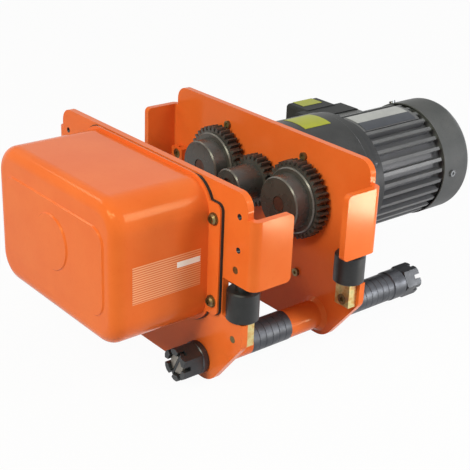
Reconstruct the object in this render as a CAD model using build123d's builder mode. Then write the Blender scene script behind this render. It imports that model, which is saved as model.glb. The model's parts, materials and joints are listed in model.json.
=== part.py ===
from build123d import *
from math import acos, atan2, cos, pi, radians, sin, sqrt, tan
import os

# Motorized beam trolley, in millimetres.
# x runs across the beam towards the motor, y along the beam, z up.
# z = 0 is the running surface of the beam flange, x = 0 the middle between the side plates.

# Clearances and small edges
running_gap = 0.05
seat_gap = 0.02
screw_gap = 0.2
free_gap = 0.3
edge = 1.5

# Side plates
beam_gap = 168.0
plate_t = 8.0
plate_length = 380.0
plate_top = 107.0
plate_bottom = -134.5
shoulder_set = 12.5
shoulder_r = 17.0
flange_w = 52.6
flange_bottom = 3.0
flange_top = 81.0
bend_r = 10.0
flange_corner_r = 6.0
lobe_set = 13.5
lobe_z = -69.0
lobe_r = 15.0
foot_set = 65.5
foot_r = 30.0
notch_r = 3.0
tap_r = 3.4
tap_set = 25.0
tap_drop = 26.5
tap_pitch = 37.5

# Tie shafts with their spacers and nuts
tie_y = 106.0
tie_rise = 25.0
tie_r = 12.5
spacer_r = 18.0
washer_t = 10.0
washer_count = 6
outer_sleeve_l = 55.5
weld_tube_l = 51.5
weld_tube_r = 17.5
weld_leg = 5.0
left_washer_t = 9.0
right_washer_t = 23.0
thick_washer_r = 19.0
nut_across = 36.0
nut_h = 26.0
left_nut_turn = 26.0
right_nut_turn = 0.0
nut_slot = 5.5
slot_depth = 9.0
shaft_short = 3.0
split_pin_r = 2.2

# Wheels, axles and bearings
gear_module = 2.5
wheel_teeth = 36
pinion_teeth = 24
tread_r = 33.0
tread_taper = 0.4
tread_w = 19.0
wheel_rim_t = 3.5
wheel_rim_r = 40.0
wheel_gear_w = 15.0
idler_rim_t = 8.5
idler_rim_r = 44.0
idler_hub_r = 33.0
wheel_gap = 4.0
wheel_lip_r = 15.0
wheel_lip_t = 3.5
wheel_face_t = 1.7
wheel_face_gap = 1.0
axle_r = 8.5
axle_shoulder_r = 13.0
axle_spigot_r = 11.0
wheel_bearing_r = 17.5
wheel_bearing_w = 10.0
bearing_set = 5.0
ring_t = 1.5
ring_r = 10.5
ring_groove = 0.6

# Guide rollers and their blocks
roller_r = 18.0
roller_h = 35.0
roller_set = 28.5
roller_inset = 4.5
roller_drop = 9.0
roller_boss_r = 9.0
notch_gap = 1.2
notch_floor = 0.5
roller_pin_r = 3.5
pin_depth = 9.0
block_t = 12.6
block_w = 22.0
block_low_h = 30.0
block_top_h = 24.0
block_screw_set = 8.0
block_screw_r = 4.0
block_head_r = 6.5
block_head_h = 5.0

# Gear teeth
pressure_angle = radians(20)
tooth_play = 0.3
root_room = 0.25
full_addendum = 1.0
stub_addendum = 0.8

# Gear train: the motor axis lies below the output pinion, the intermediate shaft beside them
drive_z = 7.4
first_module = 1.5
motor_teeth = 15
first_teeth = 45
first_gear_w = 12.0
motor_pinion_w = 18.0
motor_pinion_lead = 3.0
second_module = 2.0
second_teeth = 14
output_teeth = 36
output_gear_w = 15.0
output_gear_set = 6.0
first_gear_set = 23.0
pinion_w = 15.0
pinion_hub_r = 22.5
pinion_hub_l = 37.5
pinion_dish_r = 11.0
pinion_dish = 4.5
pinion_neck_r = 14.0
output_seat_r = 10.0
output_bearing_r = 21.0
output_bearing_w = 12.0
tail_r = 7.0
tail_seat_r = 4.0
tail_bearing_r = 11.0
tail_bearing_w = 7.0
middle_r = 9.0
middle_seat_r = 6.0
middle_bearing_r = 14.0
middle_bearing_w = 8.0
bearing_ledge = 2.0

# Gear case and its lid
case_r = 88.0
case_wall = 7.0
case_floor = 10.0
case_l = 90.0
case_foot = 84.0
case_foot_r = 14.0
case_screw_span = 141.0
case_screw_rise = 150.0
case_screw_r = 3.0
case_screw_head_r = 5.0
case_screw_head_h = 3.4
case_spigot_r = 26.0
case_spigot_l = 6.0
case_lid_t = 10.0
case_step = 1.0
bolt_set = 5.0
bolt_r = 2.5
bolt_head_r = 4.2
bolt_head_h = 5.0
bolt_depth = 14.0
bolt_boss_r = 7.0
bolt_count = 6

# Motor
shield_l = 32.0
shield_flange_t = 10.0
shield_neck_r = 71.0
frame_l = 118.5
frame_bore = 55.0
frame_r = 65.0
fin_r = 75.5
fin_t = 4.5
fin_count = 32
fin_gap = 4.0
pad_from = 65.0
pad_to = 97.0
pad_l = 104.0
core_l = 65.0
core_bore = 33.0
core_set = 21.0
winding_l = 13.0
winding_in = 36.0
winding_out = 52.0
rotor_gap = 0.5
rotor_bore = 13.0
motor_seat_r = 10.0
motor_bearing_r = 21.0
motor_bearing_w = 12.0
front_bearing_set = 6.0
rear_bearing_set = 8.0
spigot_l = 5.0
spigot_wall = 5.0
rear_l = 8.0
rear_step = 6.0
lug_w = 16.0
lug_depth = 12.0

# Fan and fan cover
fan_r = 62.0
fan_hub_r = 14.0
fan_seat_r = 7.0
fan_set = 4.0
fan_l = 20.0
fan_disc_t = 2.5
fan_blade_t = 2.5
fan_blade_count = 8
fan_cover_step = 1.7
fan_cover_l = 54.5
fan_cover_wall = 1.6
fan_cover_round = 12.0
fan_cover_lap = 4.5
fan_slot_w = 5.0
fan_slot_l = 38.0
fan_slot_ring = 42.0
fan_slot_count = 20
cover_screw_set = 14.0
cover_screw_r = 2.0
cover_screw_head_r = 4.5
cover_screw_head_h = 3.2
cover_screw_depth = 6.0

# Terminal box on the far side of the motor
term_set = 9.5
term_l = 92.0
term_h = 109.0
term_base_t = 28.0
term_wall = 4.0
term_round = 5.0
term_lid_set = 16.0
term_lid_drop = -1.0
term_lid_t = 40.0
term_pad_set = 1.0
term_pad_drop = 2.0
term_screw_r = 2.0
term_screw_head_r = 4.0
term_screw_head_h = 2.5
term_screw_set = 9.0
term_screw_depth = 10.0

# Control box
box_margin = 68.5
box_top_set = 4.2
box_h = 164.5
box_d = 119.0
box_corner_r = 34.0
box_edge_r = 15.0
box_wall = 2.0
rim_w = 4.0
gasket_t = 3.0
gasket_lip = 1.0
gasket_drop = 1.6
ear_w = 18.6
ear_h = 129.0
ear_r = 8.0
ear_screw_pitch = 96.0
ear_screw_drop = 1.0
ear_screw_set = 8.5
panel_margin = 21.5
panel_h = 102.0
panel_r = 20.0
panel_rise = 1.5
badge_r = 32.5
badge_lift = 3.0
badge_rise = 1.5
press_slope = 40.0
box_screw_r = 3.0
box_screw_head_r = 6.0
box_screw_head_h = 3.6
box_washer_r = 7.0
box_washer_t = 1.5

# Fittings inside the control box
tray_stand = 12.0
tray_t = 2.0
tray_margin = 21.5
tray_h = 126.0
tray_r = 5.0
post_r = 6.0
post_set = 12.0
contactor_w = 45.0
contactor_h = 74.0
contactor_d = 52.0
contactor_step = 14.0
contactor_cut = 18.0
contactor_pitch = 52.0
contactor_screw_r = 3.2
transformer_w = 66.0
transformer_h = 56.0
transformer_core = 34.0
transformer_d = 58.0
transformer_coil_w = 48.0
transformer_coil_set = 7.0
strip_l = 150.0
strip_h = 16.0
strip_d = 22.0
strip_ways = 10

# Cable glands
gland_across = 20.0
gland_flange_h = 6.0
gland_dome_r = 9.0
gland_dome_h = 13.0
gland_bore = 5.0
gland_thread_r = 8.0
gland_nut_h = 5.0
gland_pitch = 70.0
gland_set = 56.0

# Places worked out from the sizes above
inner_x = beam_gap / 2
outer_x = inner_x + plate_t
end_y = plate_length / 2
shoulder_y = end_y - shoulder_set
tie_z = plate_bottom + tie_rise
tap_high = plate_top - tap_drop
roller_y = end_y - roller_set
roller_x = inner_x - roller_inset
roller_top = flange_bottom - roller_drop
roller_bottom = roller_top - roller_h
block_low_top = roller_bottom - free_gap
block_low_bottom = block_low_top - block_low_h
notch_y = roller_y - roller_r - notch_gap
notch_bottom = roller_bottom - notch_floor
low_screw_z = block_low_bottom + block_screw_set
top_screw_z = flange_bottom + block_top_h - block_screw_set
axle_z = tread_r
axle_y = gear_module * (wheel_teeth + pinion_teeth) / 2
wheel_back = inner_x - wheel_gap
wheel_gear_x = wheel_back - wheel_gear_w
wheel_rim_x = wheel_gear_x - wheel_rim_t
wheel_front = wheel_rim_x - tread_w
bearing_back = wheel_back - bearing_set
bearing_front = wheel_front + wheel_lip_t
case_end = outer_x + case_l
lid_end = case_end + case_lid_t
flange_end = lid_end + shield_flange_t
frame_start = lid_end + shield_l
frame_end = frame_start + frame_l
fan_cover_r = fin_r + fan_cover_step
fan_cover_start = frame_end - fan_cover_lap
fan_cover_end = fan_cover_start + fan_cover_l
cover_screw_x = fan_cover_start + cover_screw_set
box_w = plate_length - 2 * box_margin
panel_w = box_w - 2 * panel_margin
tray_w = box_w - 2 * tray_margin
box_back = -(outer_x + gasket_t)
box_front = box_back - box_d
box_z = plate_top - box_top_set - box_h / 2
box_floor = box_z - box_h / 2
both = (-1, 1)
ties = (-tie_y, tie_y)
wheel_places = [(side, y) for side in both for y in (-axle_y, axle_y)]
roller_places = [(side, end) for side in both for end in both]
case_screws = [(y * case_screw_span / 2, drive_z + z * case_screw_rise / 2) for y in both for z in both]
box_screws = [(y * (box_w / 2 + ear_screw_set), box_z - ear_screw_drop + z * ear_screw_pitch / 2)
              for y in both for z in both]

# The intermediate shaft stands at the two centre distances from the motor and output axes
first_centre = first_module * (motor_teeth + first_teeth) / 2
second_centre = second_module * (second_teeth + output_teeth) / 2
axis_gap = axle_z - drive_z
middle_rise = (first_centre ** 2 - second_centre ** 2 + axis_gap ** 2) / (2 * axis_gap)
middle_y = sqrt(first_centre ** 2 - middle_rise ** 2)
middle_z = drive_z + middle_rise
first_angle = atan2(middle_z - drive_z, middle_y)
second_angle = atan2(middle_z - axle_z, middle_y)
motor_axis = (0, 0, drive_z)
output_axis = (0, 0, axle_z)
middle_axis = (0, middle_y, middle_z)

os.makedirs("parts", exist_ok=True)


def save(name, *pieces):
    # One file for each node, also where the node is a group of like solids
    solids = [solid for piece in pieces for solid in piece.solids()]
    node = solids[0] if len(solids) == 1 else Compound(solids)
    node.label = name
    export_step(node, f"parts/{name}.step")


def turned(outline, origin, direction=(1, 0, 0)):
    # A lathe piece: outline points are (distance along the axis, radius)
    square = (0, 0, 1) if direction[1] else (0, -1, 0)
    with BuildPart() as body:
        with BuildSketch(Plane(origin=origin, x_dir=direction, z_dir=square)):
            with BuildLine():
                Polyline(*outline, close=True)
            make_face()
        revolve(axis=Axis(origin, direction))
    return body.part


def ring(start, end, bore, rim, cut=0.0):
    # Outline of a ring or pin, with a chamfer on its two outer edges
    if cut == 0:
        return [(start, bore), (end, bore), (end, rim), (start, rim)]
    return [(start, bore), (end, bore), (end, rim - cut), (end - cut, rim),
            (start + cut, rim), (start, rim - cut)]


def cross_plane(x, y=0.0, z=0.0):
    # Square to x, with its own axes along y and z
    return Plane(origin=(x, y, z), x_dir=(0, 1, 0), z_dir=(1, 0, 0))


def radial_plane(x, y, z, angle, radius):
    # Facing outwards at a radius from a line along x, at an angle from y towards z
    outward = Vector(0, cos(radians(angle)), sin(radians(angle)))
    return Plane(origin=Vector(x, y, z) + outward * radius, x_dir=(1, 0, 0), z_dir=outward)


def gear(plane, teeth, module, addendum, phase, width):
    # Spur gear: each flank passes through its root, pitch and tip points on the involute
    pitch_r = module * teeth / 2
    base_r = pitch_r * cos(pressure_angle)
    root_r = pitch_r - (addendum + root_room) * module
    tip_r = pitch_r + addendum * module

    def half_angle(radius):
        slope = acos(min(1.0, base_r / radius))
        pitch_half = pi / (2 * teeth) - tooth_play / (2 * pitch_r)
        return pitch_half + tan(pressure_angle) - pressure_angle - tan(slope) + slope

    flank = [(radius, half_angle(radius)) for radius in (root_r, pitch_r, tip_r)]
    points = []
    for tooth in range(teeth):
        middle = phase + 2 * pi * tooth / teeth
        points += [(r * cos(middle - a), r * sin(middle - a)) for r, a in flank]
        points += [(r * cos(middle + a), r * sin(middle + a)) for r, a in reversed(flank)]
    with BuildPart() as body:
        with BuildSketch(plane):
            with BuildLine():
                Polyline(*points, close=True)
            make_face()
        extrude(amount=width)
    return body.part


def cap_screw(head, end, y, z, shank_r, head_r, head_h, side=1):
    # A socket head screw along x: its head lies before head, its shank runs to end
    outline = [(head - head_h, 0), (end, 0), (end, shank_r), (head, shank_r), (head, head_r),
               (head - head_h, head_r)]
    with BuildPart() as screw:
        add(turned(outline, (0, y, z), (side, 0, 0)))
        with BuildSketch(cross_plane(side * (head - head_h), y, z)):
            RegularPolygon(head_r / 2, 6)
        extrude(amount=side * head_h / 2, mode=Mode.SUBTRACT)
    return screw.part


# Side plates, each bent in at both ends
def side_plate(side):
    foot = (end_y - foot_set, plate_bottom)
    lobe = (end_y - lobe_set, lobe_z)
    throat = (notch_y, notch_bottom)
    shoulder = (shoulder_y, plate_top)
    half = [(0, plate_bottom), foot, lobe, (end_y - lobe_set, notch_bottom), throat, (notch_y, flange_bottom),
            (end_y, flange_bottom), (end_y, flange_top), (shoulder_y, flange_top), shoulder, (0, plate_top)]
    rounds = [(foot, foot_r), (lobe, lobe_r), (throat, notch_r), (shoulder, shoulder_r)]
    holes = [([(y, tie_z) for y in ties], tie_r + free_gap),
             ([(-axle_y, axle_z), (axle_y, axle_z)], axle_spigot_r + seat_gap),
             ([(y * roller_y, z) for y in both for z in (low_screw_z, top_screw_z)],
              block_screw_r + screw_gap)]
    if side > 0:
        holes += [([(0, axle_z)], case_spigot_r + seat_gap), (case_screws, case_screw_r + screw_gap)]
    else:
        holes += [([(y * (end_y - tap_set), z) for y in both for z in (tap_high - tap_pitch, tap_high)], tap_r),
                  (box_screws, box_screw_r + seat_gap)]
    with BuildPart() as plate:
        with BuildSketch(Plane.YZ.offset(side * inner_x)) as outline:
            with BuildLine():
                Polyline(*half, close=True)
            make_face()
            mirror(about=Plane.YZ)
            for (y, z), radius in rounds:
                points = outline.vertices()
                fillet(points.filter_by(lambda v: abs(abs(v.X) - y) + abs(v.Y - z) < seat_gap), radius)
        extrude(amount=side * plate_t)
        with BuildSketch(Plane.XY.offset(flange_bottom)):
            with Locations(*[(side * (outer_x - flange_w / 2), end * (end_y - plate_t / 2)) for end in both]):
                Rectangle(flange_w, plate_t)
        extrude(amount=flange_top - flange_bottom)
        upright = plate.edges().filter_by(Axis.Z)
        fillet(upright.filter_by(lambda e: abs(abs(e.center().X) - outer_x) < seat_gap
                                 and abs(abs(e.center().Y) - end_y) < seat_gap), bend_r)
        upright = plate.edges().filter_by(Axis.Z)
        fillet(upright.filter_by(lambda e: abs(abs(e.center().X) - inner_x) < seat_gap
                                 and abs(abs(e.center().Y) - end_y + plate_t) < seat_gap), bend_r - plate_t)
        tips = plate.edges().filter_by(Axis.Y)
        fillet(tips.filter_by(lambda e: abs(side * e.center().X - outer_x + flange_w) < seat_gap),
               flange_corner_r)
        for places, radius in holes:
            with BuildSketch(Plane.YZ.offset(side * inner_x)):
                with Locations(*places):
                    Circle(radius)
            extrude(amount=side * plate_t, mode=Mode.SUBTRACT)
    return plate.part


save("motor_side_plate", side_plate(1))
save("control_side_plate", side_plate(-1))

# Tie shafts and what is threaded on them
washer_stack = washer_t * washer_count
left_nut_x = outer_x + left_washer_t
outer_washer_x = outer_x + outer_sleeve_l
right_washer_x = outer_washer_x + washer_stack
right_nut_x = right_washer_x + right_washer_t
tube_x = inner_x - weld_tube_l
inner_washer_x = tube_x - washer_stack
spacer_bore = tie_r + free_gap
slot_step = 60
pin_reach = nut_across / 2 - edge
tie_ends = ((-1, left_nut_x, left_nut_turn), (1, right_nut_x, right_nut_turn))
nut_places = [(*end, y) for end in tie_ends for y in ties]


def pin_plane(side, start, turn, y):
    # Across the tie shaft, in one of the nut's slots
    angle = turn + slot_step * 3 / 2
    return radial_plane(side * (start + nut_h - slot_depth / 2), y, tie_z, angle, -pin_reach)


def tie_shaft(y):
    left = left_nut_x + nut_h - shaft_short
    right = right_nut_x + nut_h - shaft_short
    with BuildPart() as shaft:
        add(turned(ring(-left, right, 0, tie_r, edge), (0, y, tie_z)))
        for end in tie_ends:
            with BuildSketch(pin_plane(*end, y)):
                Circle(split_pin_r + free_gap)
            extrude(amount=2 * pin_reach, mode=Mode.SUBTRACT)
    return shaft.part


def castle_nut(side, start, turn, y):
    # A hexagon bevelled at both ends, with a slot across each pair of flats
    reach = nut_across / 2 / cos(pi / 6)
    bevel = (reach - nut_across / 2) / 2
    with BuildPart() as nut:
        with BuildSketch(cross_plane(side * start, y, tie_z)):
            RegularPolygon(nut_across / 2, 6, major_radius=False, rotation=turn)
        extrude(amount=side * nut_h)
        bevelled = turned(ring(start, start + nut_h, 0, reach, bevel), (0, y, tie_z), (side, 0, 0))
        add(bevelled, mode=Mode.INTERSECT)
        with BuildSketch(cross_plane(side * (start + nut_h), y, tie_z)):
            for step in range(3):
                Rectangle(3 * reach, nut_slot, rotation=turn + slot_step * (step + 1 / 2))
        extrude(amount=-side * slot_depth, mode=Mode.SUBTRACT)
        with BuildSketch(cross_plane(side * start, y, tie_z)):
            Circle(tie_r + running_gap)
        extrude(amount=side * nut_h, mode=Mode.SUBTRACT)
    return nut.part


def split_pin(*place):
    with BuildPart() as pin:
        with BuildSketch(pin_plane(*place)):
            Circle(split_pin_r)
        extrude(amount=2 * pin_reach)
    return pin.part


def on_ties(outline, side=1):
    return [turned(outline, (0, y, tie_z), (side, 0, 0)) for y in ties]


def washers(start):
    stations = [start + index * washer_t for index in range(washer_count)]
    outlines = [ring(x, x + washer_t, spacer_bore, spacer_r, edge / 3) for x in stations]
    return [piece for outline in outlines for piece in on_ties(outline)]


def thick_washers(side, start, end):
    return on_ties(ring(start, end, spacer_bore, thick_washer_r, edge), side)


weld_outline = [(tube_x, spacer_bore), (inner_x, spacer_bore), (inner_x, weld_tube_r + weld_leg),
                (inner_x - weld_leg, weld_tube_r), (tube_x, weld_tube_r)]
save("tie_shafts", *[tie_shaft(y) for y in ties])
save("castle_nuts", *[castle_nut(*place) for place in nut_places])
save("split_pins", *[split_pin(*place) for place in nut_places])
save("inner_sleeves", *on_ties(ring(-inner_x, inner_washer_x, spacer_bore, spacer_r)))
save("outer_sleeves", *on_ties(ring(outer_x, outer_washer_x, spacer_bore, spacer_r)))
save("inner_washers", *washers(inner_washer_x))
save("outer_washers", *washers(outer_washer_x))
save("thick_washers", *thick_washers(-1, outer_x, left_nut_x), *thick_washers(1, right_washer_x, right_nut_x))
save("spacer_tubes", *on_ties(weld_outline))

# Wheel axles: a spigot in the plate, a shoulder inside it and a journal for two bearings
axle_end = wheel_front + edge / 3
ring_x = bearing_front - ring_t
groove_r = axle_r - ring_groove
axle_outline = [(axle_end, 0), (outer_x, 0), (outer_x, axle_spigot_r), (inner_x, axle_spigot_r),
                (inner_x, axle_shoulder_r), (bearing_back, axle_shoulder_r), (bearing_back, axle_r),
                (bearing_front, axle_r), (bearing_front, groove_r), (ring_x, groove_r),
                (ring_x, axle_r), (axle_end, axle_r)]
bearing_starts = (bearing_front, bearing_back - wheel_bearing_w)
bearing_outlines = [ring(x, x + wheel_bearing_w, axle_r + seat_gap, wheel_bearing_r) for x in bearing_starts]


def on_axles(outline):
    return [turned(outline, (0, y, axle_z), (side, 0, 0)) for side, y in wheel_places]


save("wheel_axles", *on_axles(axle_outline))
save("axle_rings", *on_axles(ring(ring_x, bearing_front, groove_r + seat_gap, ring_r)))
save("wheel_bearings", *[piece for outline in bearing_outlines for piece in on_axles(outline)])

# Wheels: a slightly tapered tread, a rim behind it and a thin face in front of the retaining ring
wheel_bore = wheel_bearing_r + running_gap
lip_end = bearing_front - running_gap
face_end = wheel_front + wheel_face_t
face_r = axle_r + wheel_face_gap


def wheel_body(y, side, rim_r, back):
    outline = [(wheel_front, face_r), (wheel_front, tread_r - tread_taper - edge),
               (wheel_front + edge, tread_r - tread_taper), (wheel_rim_x, tread_r + tread_taper),
               (wheel_rim_x, rim_r - edge), (wheel_rim_x + edge, rim_r), (back, rim_r), (back, wheel_bore),
               (lip_end, wheel_bore), (lip_end, wheel_lip_r), (face_end, wheel_lip_r), (face_end, face_r)]
    return turned(outline, (0, y, axle_z), (side, 0, 0))


def drive_wheel(y):
    with BuildPart() as wheel:
        add(wheel_body(y, 1, wheel_rim_r, wheel_gear_x + edge))
        teeth_plane = cross_plane(wheel_gear_x, y, axle_z)
        add(gear(teeth_plane, wheel_teeth, gear_module, full_addendum, pi / wheel_teeth, wheel_gear_w))
        with BuildSketch(cross_plane(lip_end, y, axle_z)):
            Circle(wheel_bore)
        extrude(amount=wheel_back - lip_end, mode=Mode.SUBTRACT)
    return wheel.part


def idler_wheel(y):
    rim_end = wheel_rim_x + idler_rim_t
    hub_outline = ring(rim_end - edge, wheel_back, wheel_bore, idler_hub_r)
    with BuildPart() as wheel:
        add(wheel_body(y, -1, idler_rim_r, rim_end))
        add(turned(hub_outline, (0, y, axle_z), (-1, 0, 0)))
    return wheel.part


for place, y in (("near", -axle_y), ("far", axle_y)):
    save(f"drive_wheel_{place}", drive_wheel(y))
    save(f"idler_wheel_{place}", idler_wheel(y))

# Guide rollers on upright pins between an upper and a lower block
roller_bore = roller_pin_r + running_gap
boss_top = flange_bottom - free_gap
roller_outline = [(roller_bottom, roller_bore), (boss_top, roller_bore), (boss_top, roller_boss_r),
                  (roller_top, roller_boss_r), (roller_top, roller_r - edge), (roller_top - edge, roller_r),
                  (roller_bottom + edge, roller_r), (roller_bottom, roller_r - edge)]
pin_outline = ring(block_low_top - pin_depth, flange_bottom + pin_depth, 0, roller_pin_r)


def roller_block(side, end, bottom, height, screw_z):
    face_x = side * (inner_x - block_t)
    with BuildPart() as block:
        with BuildSketch(Plane.XY.offset(bottom)):
            with Locations((side * (inner_x - block_t / 2), end * roller_y)):
                Rectangle(block_t, block_w)
            with Locations((side * roller_x, end * roller_y)):
                Circle(roller_pin_r + seat_gap, mode=Mode.SUBTRACT)
        extrude(amount=height)
        with BuildSketch(cross_plane(face_x, end * roller_y, screw_z)):
            Circle(block_screw_r + screw_gap)
        extrude(amount=side * block_t, mode=Mode.SUBTRACT)
        with BuildSketch(cross_plane(face_x, end * roller_y, screw_z)):
            Circle(block_head_r + screw_gap)
        extrude(amount=side * block_head_h, mode=Mode.SUBTRACT)
    return block.part


def block_screw(side, end, z):
    head = inner_x - block_t + block_head_h
    return cap_screw(head, outer_x, end * roller_y, z, block_screw_r, block_head_r, block_head_h, side)


save("lower_roller_blocks", *[roller_block(side, end, block_low_bottom, block_low_h, low_screw_z)
                              for side, end in roller_places])
save("upper_roller_blocks", *[roller_block(side, end, flange_bottom, block_top_h, top_screw_z)
                              for side, end in roller_places])
save("block_screws", *[block_screw(side, end, z) for side, end in roller_places
                       for z in (low_screw_z, top_screw_z)])
save("roller_pins", *[turned(pin_outline, (side * roller_x, end * roller_y, 0), (0, 0, 1))
                      for side, end in roller_places])
for side, side_name in ((1, "motor"), (-1, "control")):
    for end, end_name in ((-1, "near"), (1, "far")):
        roller = turned(roller_outline, (side * roller_x, end * roller_y, 0), (0, 0, 1))
        save(f"guide_roller_{side_name}_{end_name}", roller)

# Stations of the gear train along x
bearing_x = outer_x + bearing_ledge
output_bearing_end = bearing_x + output_bearing_w
middle_bearing_end = bearing_x + middle_bearing_w
output_gear_x = output_bearing_end + output_gear_set
output_gear_end = output_gear_x + output_gear_w
first_gear_x = output_gear_end + first_gear_set
tail_end = lid_end - bearing_ledge
tail_x = tail_end - tail_bearing_w
middle_tail = case_end + middle_bearing_w

# Output shaft with the drive pinion, and the gear that turns it
pinion_front = wheel_gear_x - pinion_hub_l
pinion_end = wheel_gear_x + pinion_w
output_outline = [(pinion_front, 0), (tail_end, 0), (tail_end, tail_seat_r), (tail_x, tail_seat_r),
                  (tail_x, tail_r), (output_gear_end, tail_r), (output_gear_end, output_seat_r),
                  (bearing_x, output_seat_r), (bearing_x, pinion_neck_r), (pinion_end, pinion_neck_r),
                  (pinion_end, pinion_hub_r), (pinion_front + edge, pinion_hub_r),
                  (pinion_front, pinion_hub_r - edge)]
with BuildPart() as pinion_shaft:
    add(turned(output_outline, output_axis))
    pinion_plane = cross_plane(wheel_gear_x, 0, axle_z)
    add(gear(pinion_plane, pinion_teeth, gear_module, full_addendum, 0, pinion_w))
    with BuildSketch(cross_plane(pinion_front, 0, axle_z)):
        Circle(pinion_dish_r)
    extrude(amount=pinion_dish, mode=Mode.SUBTRACT)
save("pinion_shaft", pinion_shaft.part)

with BuildPart() as output_gear:
    output_plane = cross_plane(output_gear_x, 0, axle_z)
    add(gear(output_plane, output_teeth, second_module, stub_addendum, second_angle, output_gear_w))
    with BuildSketch(output_plane):
        Circle(output_seat_r + seat_gap)
    extrude(amount=output_gear_w, mode=Mode.SUBTRACT)
save("output_gear", output_gear.part)

# Intermediate shaft with its own pinion teeth, and the gear that the motor drives
middle_outline = [(bearing_x, 0), (middle_tail, 0), (middle_tail, middle_seat_r), (case_end, middle_seat_r),
                  (case_end, middle_r), (middle_bearing_end, middle_r), (middle_bearing_end, middle_seat_r),
                  (bearing_x, middle_seat_r)]
with BuildPart() as intermediate_shaft:
    add(turned(middle_outline, middle_axis))
    second_plane = cross_plane(output_gear_x, middle_y, middle_z)
    second_phase = second_angle + pi + pi / second_teeth
    add(gear(second_plane, second_teeth, second_module, stub_addendum, second_phase, output_gear_w))
save("intermediate_shaft", intermediate_shaft.part)

with BuildPart() as intermediate_gear:
    first_plane = cross_plane(first_gear_x, middle_y, middle_z)
    first_phase = first_angle + pi + pi / first_teeth
    add(gear(first_plane, first_teeth, first_module, stub_addendum, first_phase, first_gear_w))
    with BuildSketch(first_plane):
        Circle(middle_r + seat_gap)
    extrude(amount=first_gear_w, mode=Mode.SUBTRACT)
save("intermediate_gear", intermediate_gear.part)

middle_seat = middle_seat_r + running_gap
save("gear_bearings",
     turned(ring(bearing_x, output_bearing_end, output_seat_r + running_gap, output_bearing_r), output_axis),
     turned(ring(tail_x, tail_end, tail_seat_r + running_gap, tail_bearing_r), output_axis),
     turned(ring(bearing_x, middle_bearing_end, middle_seat, middle_bearing_r), middle_axis),
     turned(ring(case_end, middle_tail, middle_seat, middle_bearing_r), middle_axis))

# Gear case: a cast pot on the plate, closed by a lid that carries the motor
shield_flange_r = case_r - case_step
bolt_ring = shield_flange_r - bolt_set
bolt_turns = [360 / bolt_count * (index + 0.5) for index in range(bolt_count)]
bolt_places = [(bolt_ring * cos(radians(turn)), bolt_ring * sin(radians(turn))) for turn in bolt_turns]
pinion_tip_r = first_module * (motor_teeth / 2 + stub_addendum)
with BuildPart() as gear_case:
    with BuildSketch(cross_plane(outer_x, 0, drive_z)):
        RectangleRounded(2 * case_foot, 2 * case_foot, case_foot_r)
        Circle(case_r)
    extrude(amount=case_floor)
    with BuildSketch(cross_plane(outer_x, 0, drive_z)):
        Circle(case_r)
    extrude(amount=case_l)
    with BuildSketch(cross_plane(outer_x + case_floor, 0, drive_z)):
        Circle(case_r - case_wall)
        with Locations(*bolt_places):
            Circle(bolt_boss_r, mode=Mode.SUBTRACT)
    extrude(amount=case_l - case_floor, mode=Mode.SUBTRACT)
    with BuildSketch(cross_plane(outer_x - case_spigot_l, 0, axle_z)):
        Circle(case_spigot_r)
    extrude(amount=case_spigot_l + output_bearing_end - outer_x)
    with BuildSketch(cross_plane(outer_x - case_spigot_l, 0, axle_z)):
        Circle(pinion_neck_r + free_gap)
    extrude(amount=case_spigot_l + bearing_ledge, mode=Mode.SUBTRACT)
    with BuildSketch(cross_plane(bearing_x, 0, axle_z)):
        Circle(output_bearing_r + seat_gap)
    extrude(amount=output_bearing_w, mode=Mode.SUBTRACT)
    with BuildSketch(cross_plane(bearing_x, middle_y, middle_z)):
        Circle(middle_bearing_r + seat_gap)
    extrude(amount=middle_bearing_w, mode=Mode.SUBTRACT)
    with BuildSketch(cross_plane(outer_x)):
        with Locations(*case_screws):
            Circle(case_screw_r + seat_gap)
    extrude(amount=case_floor, mode=Mode.SUBTRACT)
    with BuildSketch(cross_plane(case_end, 0, drive_z)):
        with Locations(*bolt_places):
            Circle(bolt_r + seat_gap)
    extrude(amount=-bolt_depth, mode=Mode.SUBTRACT)
save("gear_case", gear_case.part)

with BuildPart() as gear_case_lid:
    with BuildSketch(cross_plane(case_end, 0, drive_z)):
        Circle(case_r)
    extrude(amount=case_lid_t)
    fillet(gear_case_lid.edges().filter_by(GeomType.CIRCLE).sort_by(Axis.X)[-1], case_step)
    with BuildSketch(cross_plane(case_end, 0, drive_z)):
        Circle(pinion_tip_r + edge / 2)
        with Locations(*bolt_places):
            Circle(bolt_r + seat_gap)
    extrude(amount=case_lid_t, mode=Mode.SUBTRACT)
    with BuildSketch(cross_plane(case_end, 0, axle_z)):
        Circle(tail_bearing_r + seat_gap)
    extrude(amount=tail_end - case_end, mode=Mode.SUBTRACT)
    with BuildSketch(cross_plane(case_end, middle_y, middle_z)):
        Circle(middle_bearing_r + seat_gap)
    extrude(amount=middle_bearing_w, mode=Mode.SUBTRACT)
save("gear_case_lid", gear_case_lid.part)

save("gear_case_screws", *[cap_screw(inner_x, outer_x + case_floor, y, z, case_screw_r, case_screw_head_r,
                                     case_screw_head_h) for y, z in case_screws])
save("gear_lid_bolts", *[cap_screw(-flange_end, bolt_depth - case_end, y, drive_z + z, bolt_r, bolt_head_r,
                                   bolt_head_h, -1) for y, z in bolt_places])

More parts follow.
